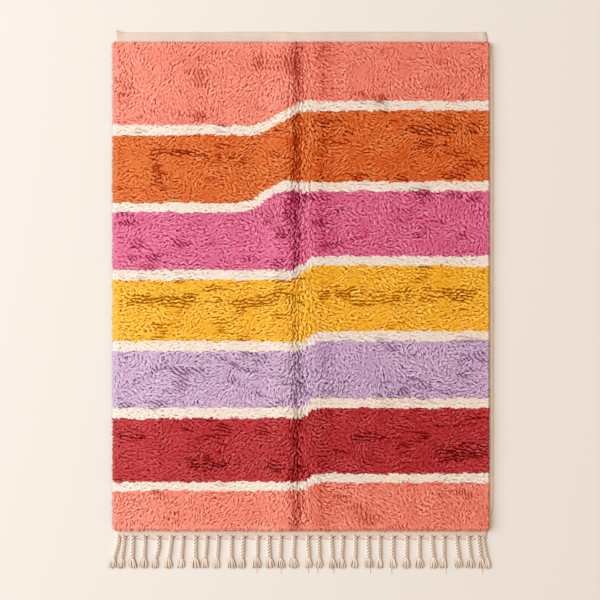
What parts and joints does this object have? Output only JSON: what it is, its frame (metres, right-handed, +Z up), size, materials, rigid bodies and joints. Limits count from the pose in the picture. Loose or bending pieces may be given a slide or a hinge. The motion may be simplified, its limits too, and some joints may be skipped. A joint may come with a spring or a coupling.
{
  "type": "boujaad rug",
  "caption": "Hand-knotted wool shag rug in bold stripes with ivory bands between, a plain woven end and a fringe of plied cords with tassels",
  "frame": {"origin": "centre of the bounding box's bottom face: under the middle of the whole rug, on the floor", "axes": "+Y along the length, towards the plain woven end, with the fringe at -Y; +X across the width; +Z up out of the pile"},
  "size_m": [1.5342, 2.1396, 0.027],
  "materials": {
    "ground_weave": "undyed handspun wool, plain weave",
    "pile_wool": "long soft knotted wool pile in seven dyed and undyed colours",
    "fringe_yarn": "undyed plied wool warp"
  },
  "bodies": {
    "root": {"ground": "ground_weave", "pile": "pile_wool", "fringe": "fringe_yarn"}
  },
  "joints": []
}
